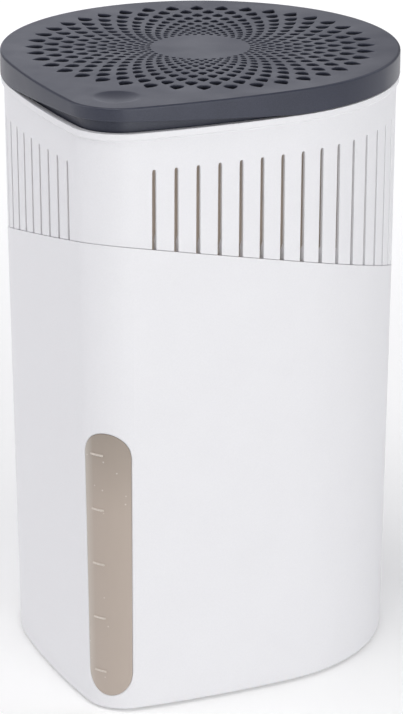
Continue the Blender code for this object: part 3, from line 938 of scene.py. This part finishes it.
def make_basket():
    """A tub that hangs by its flange, with a row of slots low in its wall and a fan in its floor."""
    flange_low = LEDGE_Z + LEDGE_THICKNESS + GAP
    flange_high = flange_low + BASKET_FLANGE

    def wall(depth):
        """Inset of the tub at a depth behind its outer face, as a function of z."""
        return lambda z: BASKET_INSET + BASKET_DRAFT * (flange_low - z) + depth

    half = BASKET_SLOT_WIDTH / 2
    floor_top = BASKET_FLOOR_Z + BASKET_FLOOR
    low_z = BASKET_SLOT_LOW + half
    high_z = BASKET_SLOT_HIGH - half
    outside, inside = wall(0), wall(BASKET_WALL)
    rows = [
        ((outside, BASKET_FLOOR_Z), (inside, floor_top), 0),
        ((outside, low_z), (inside, low_z), -1),
        ((outside, high_z), (inside, high_z), 1),
        ((outside, flange_low), (inside, flange_low), 0),
        ((BASKET_FLANGE_INSET, flange_low), (inside, flange_low + BASKET_FLANGE / 2), 0),
        ((BASKET_FLANGE_INSET, flange_high), (inside, flange_high), 0),
    ]
    pitch = (HALF_PERIMETER - FIRST_SLOT) / BASKET_SLOTS_PER_SIDE
    places = [FIRST_SLOT + (number + 0.5) * pitch for number in range(BASKET_SLOTS_PER_SIDE)]
    columns = columns_round([-place for place in places] + places, half, 8)
    bm = bmesh.new()
    made = add_shell(bm, columns, rows, lambda z: half, half, open_bands=(1,), footed=True)
    slots = [drip_slot(2 * math.pi * number / FLOOR_SLOTS) for number in range(FLOOR_SLOTS)]
    add_plate_face(bm, foot_loop(made, columns, 0), slots, [], lambda x, y: BASKET_FLOOR_Z)
    add_plate_face(bm, foot_loop(made, columns, 1), slots, [], lambda x, y: floor_top)
    for slot in slots:
        add_loops(bm, [[(x, y, BASKET_FLOOR_Z) for x, y in slot], [(x, y, floor_top) for x, y in slot]])
    add_piece("granule_basket_shell", bm, "basket", BASKET_PLASTIC,
              ["granule_basket"])


def pouch_loop(half_x, half_y, z, count=96):
    """A rounded square in plan."""
    power = 2 / POUCH_SQUARENESS
    points = []
    for step in range(count):
        turn = 2 * math.pi * step / count
        x = math.copysign(abs(math.cos(turn)) ** power, math.cos(turn))
        y = math.copysign(abs(math.sin(turn)) ** power, math.sin(turn))
        points.append(Vector((half_x * x, CENTRE_Y + half_y * y, z)))
    return points


def pillow_mesh():
    """The filled body of the pouch before it is blown up, slightly smaller than its space."""
    half = POUCH_HALF - Vector((POUCH_EDGE, POUCH_EDGE, 0)) - Vector((1, 1, 1)) * POUCH_SWELL
    levels = 24
    bm = bmesh.new()
    loops = []
    for level in range(1, levels):
        tilt = math.pi * level / levels - math.pi / 2
        spread = math.cos(tilt) ** 0.6
        loops.append(pouch_loop(half.x * spread, half.y * spread, POUCH_MIDDLE_Z + half.z * math.sin(tilt)))
    rows = add_loops(bm, loops)
    bm.faces.new(rows[0])
    bm.faces.new(rows[-1])
    bmesh.ops.recalc_face_normals(bm, faces=bm.faces)
    mesh = bpy.data.meshes.new("pouch_pillow")
    bm.to_mesh(mesh)
    bm.free()
    return mesh


def apply_modifiers(thing):
    """Bake an object's modifiers into its mesh."""
    graph = bpy.context.evaluated_depsgraph_get()
    baked = bpy.data.meshes.new_from_object(thing.evaluated_get(graph))
    thing.modifiers.clear()
    thing.data = baked


def blow_up(thing):
    """Fill the pouch by cloth simulation, with no point moved further than POUCH_SWELL."""
    before = [vertex.co.copy() for vertex in thing.data.vertices]
    cloth = thing.modifiers.new("filling", "CLOTH")
    cloth.settings.use_pressure = True
    cloth.settings.uniform_pressure_force = POUCH_PRESSURE
    cloth.settings.effector_weights.gravity = 0
    for number in range(1, POUCH_FRAMES + 1):
        bpy.context.scene.frame_set(number)
    apply_modifiers(thing)
    bpy.context.scene.frame_set(1)
    for vertex, start in zip(thing.data.vertices, before):
        moved = vertex.co - start
        if moved.length > POUCH_SWELL:
            vertex.co = start + moved.normalized() * POUCH_SWELL


def add_granule_lumps(thing):
    """Push the skin in and out a little, where granules and creases press on it."""
    mesh = thing.data
    for vertex, normal in zip(mesh.vertices, [item.vector.copy() for item in mesh.vertex_normals]):
        coarse = noise.noise(vertex.co * 60)
        fine = noise.noise(vertex.co * 260)
        vertex.co += normal * POUCH_LUMP * (0.9 * coarse + 0.5 * fine - 0.5)


def make_pouch():
    """The refill's body: remeshed, blown up, smoothed, then lumpy with granules."""
    pouch = bpy.data.objects.new("desiccant_pouch_body", pillow_mesh())
    bpy.context.scene.collection.objects.link(pouch)
    remesh = pouch.modifiers.new("even_mesh", "REMESH")
    remesh.mode = "VOXEL"
    remesh.voxel_size = POUCH_VOXEL
    apply_modifiers(pouch)
    blow_up(pouch)
    smoother = pouch.modifiers.new("finer_mesh", "SUBSURF")
    smoother.levels = 2
    smoother.render_levels = 2
    apply_modifiers(pouch)
    add_granule_lumps(pouch)
    pouch.data.materials.append(FLEECE)
    pouch.data.shade_smooth()
    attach(pouch, "pouch")
    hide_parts("desiccant_pouch")


def make_pouch_seal():
    """The heat-sealed edge round the pouch, slightly wavy, as two skins pressed together."""
    bm = bmesh.new()
    loops = []
    body = POUCH_HALF - Vector((POUCH_EDGE, POUCH_EDGE, 0)) - Vector((1, 1, 1)) * 2 * POUCH_SWELL
    shares = [0.0, 0.35, 0.7, 1.0]
    for side in (1, -1):
        for share in (shares if side > 0 else reversed(shares)):
            half_x = body.x + (POUCH_HALF.x - body.x) * share
            half_y = body.y + (POUCH_HALF.y - body.y) * share
            loop = pouch_loop(half_x, half_y, POUCH_MIDDLE_Z, 160)
            for i, point in enumerate(loop):
                wave = math.sin(2 * math.pi * i * 11 / len(loop)) + 0.6 * noise.noise(point * 90)
                point.z += side * POUCH_SEAL_THICKNESS / 2 + 0.8 * MM * share * wave
            loops.append(loop)
    add_loops(bm, loops, tube=True)
    add_piece("desiccant_pouch_seal", bm, "pouch", SEALED_FLEECE, rounding=0)


# ---------------------------------------------------------------- floor, light and camera

def make_floor():
    """A pale floor that glows a little, so that it comes out nearly white."""
    made, tree, shader = node_material("studio_floor")
    clouds = noise_field(tree, 1.5)
    colour = blend_colours(tree, clouds, [(0.3, FLOOR_DARK), (0.7, FLOOR_LIGHT)])
    tree.links.new(colour, shader.inputs["Base Color"])
    shader.inputs["Roughness"].default_value = 0.6
    shader.inputs["Specular IOR Level"].default_value = 0.2
    shader.inputs["Emission Color"].default_value = (1, 1, 1, 1)
    shader.inputs["Emission Strength"].default_value = FLOOR_GLOW
    corners = [(-FLOOR_HALF, -FLOOR_HALF, 0), (FLOOR_HALF, -FLOOR_HALF, 0),
               (FLOOR_HALF, FLOOR_HALF, 0), (-FLOOR_HALF, FLOOR_HALF, 0)]
    mesh = bpy.data.meshes.new("studio_floor")
    mesh.from_pydata(corners, [], [(0, 1, 2, 3)])
    mesh.materials.append(made)
    floor = bpy.data.objects.new("studio_floor", mesh)
    bpy.context.scene.collection.objects.link(floor)


def make_world():
    """An even, dim studio around the lights."""
    world = bpy.data.worlds.new("studio")
    bpy.context.scene.world = world
    world.use_nodes = True
    background = world.node_tree.nodes["Background"]
    background.inputs["Color"].default_value = (*SHADE_TINT, 1)
    background.inputs["Strength"].default_value = STUDIO_BRIGHTNESS


def add_softbox(name, azimuth, elevation, radiance, tint):
    """A square softbox that faces the object, as bright as its radiance says."""
    data = bpy.data.lights.new(name, "AREA")
    data.shape = "SQUARE"
    data.size = SOFTBOX_SIZE
    data.energy = math.pi * SOFTBOX_SIZE ** 2 * radiance
    data.color = tint
    lamp = bpy.data.objects.new(name, data)
    bpy.context.scene.collection.objects.link(lamp)
    around = math.radians(azimuth)
    up = math.radians(elevation)
    away = Vector((math.cos(up) * math.sin(around), -math.cos(up) * math.cos(around), math.sin(up)))
    lamp.location = Vector((0, CENTRE_Y, TOP_Z / 2)) + away * SOFTBOX_DISTANCE
    lamp.rotation_euler = away.to_track_quat("Z", "Y").to_euler()
    lamp.visible_camera = False


def add_basket_fill():
    """Light on the basket alone, for what the thin white sleeve and its slots let through."""
    data = bpy.data.lights.new("basket_fill", "SUN")
    data.energy = BASKET_FILL
    data.angle = BASKET_FILL_SPREAD
    lamp = bpy.data.objects.new("basket_fill", data)
    bpy.context.scene.collection.objects.link(lamp)
    lamp.rotation_euler = (BASKET_FILL_TILT, 0, 0)
    basket = bpy.data.objects["granule_basket_shell"]
    lit = bpy.data.collections.new("basket_fill_lit")
    lit.objects.link(basket)
    lamp.light_linking.receiver_collection = lit
    lamp.light_linking.blocker_collection = lit


def add_floor_spot():
    """A spot from high up that whitens the floor behind. Only its soft edge reaches the base."""
    data = bpy.data.lights.new("floor_spot", "SPOT")
    data.energy = FLOOR_SPOT
    data.spot_size = FLOOR_SPOT_CONE
    data.spot_blend = 0.6
    data.shadow_soft_size = 0.2
    lamp = bpy.data.objects.new("floor_spot", data)
    bpy.context.scene.collection.objects.link(lamp)
    lamp.location = FLOOR_SPOT_PLACE
    lamp.rotation_euler = (FLOOR_SPOT_TILT, 0, 0)


def make_camera():
    """A long lens that looks down on the corner from its right."""
    data = bpy.data.cameras.new("camera")
    data.lens = CAMERA_LENS
    data.sensor_width = 36
    data.clip_end = 20
    camera = bpy.data.objects.new("camera", data)
    around = math.radians(CAMERA_AZIMUTH)
    side = Vector((math.cos(around), math.sin(around), 0))
    back = Vector((math.sin(around), -math.cos(around), 0))
    camera.location = Vector((0, CENTRE_Y, CAMERA_HEIGHT)) + side * CAMERA_SIDE + back * CAMERA_DISTANCE
    camera.rotation_euler = (math.radians(90 - CAMERA_PITCH), 0, around)
    bpy.context.scene.collection.objects.link(camera)
    bpy.context.scene.camera = camera


make_lid()
make_upper_housing()
make_lower_housing()
make_level_window()
make_level_marks()
make_gasket()
make_basket()
make_pouch()
make_pouch_seal()
make_floor()
make_world()
for name, (azimuth, elevation, radiance, tint) in SOFTBOXES.items():
    add_softbox(name, azimuth, elevation, radiance, tint)
add_floor_spot()
add_basket_fill()
make_camera()
bpy.context.scene.view_settings.view_transform = "Standard"
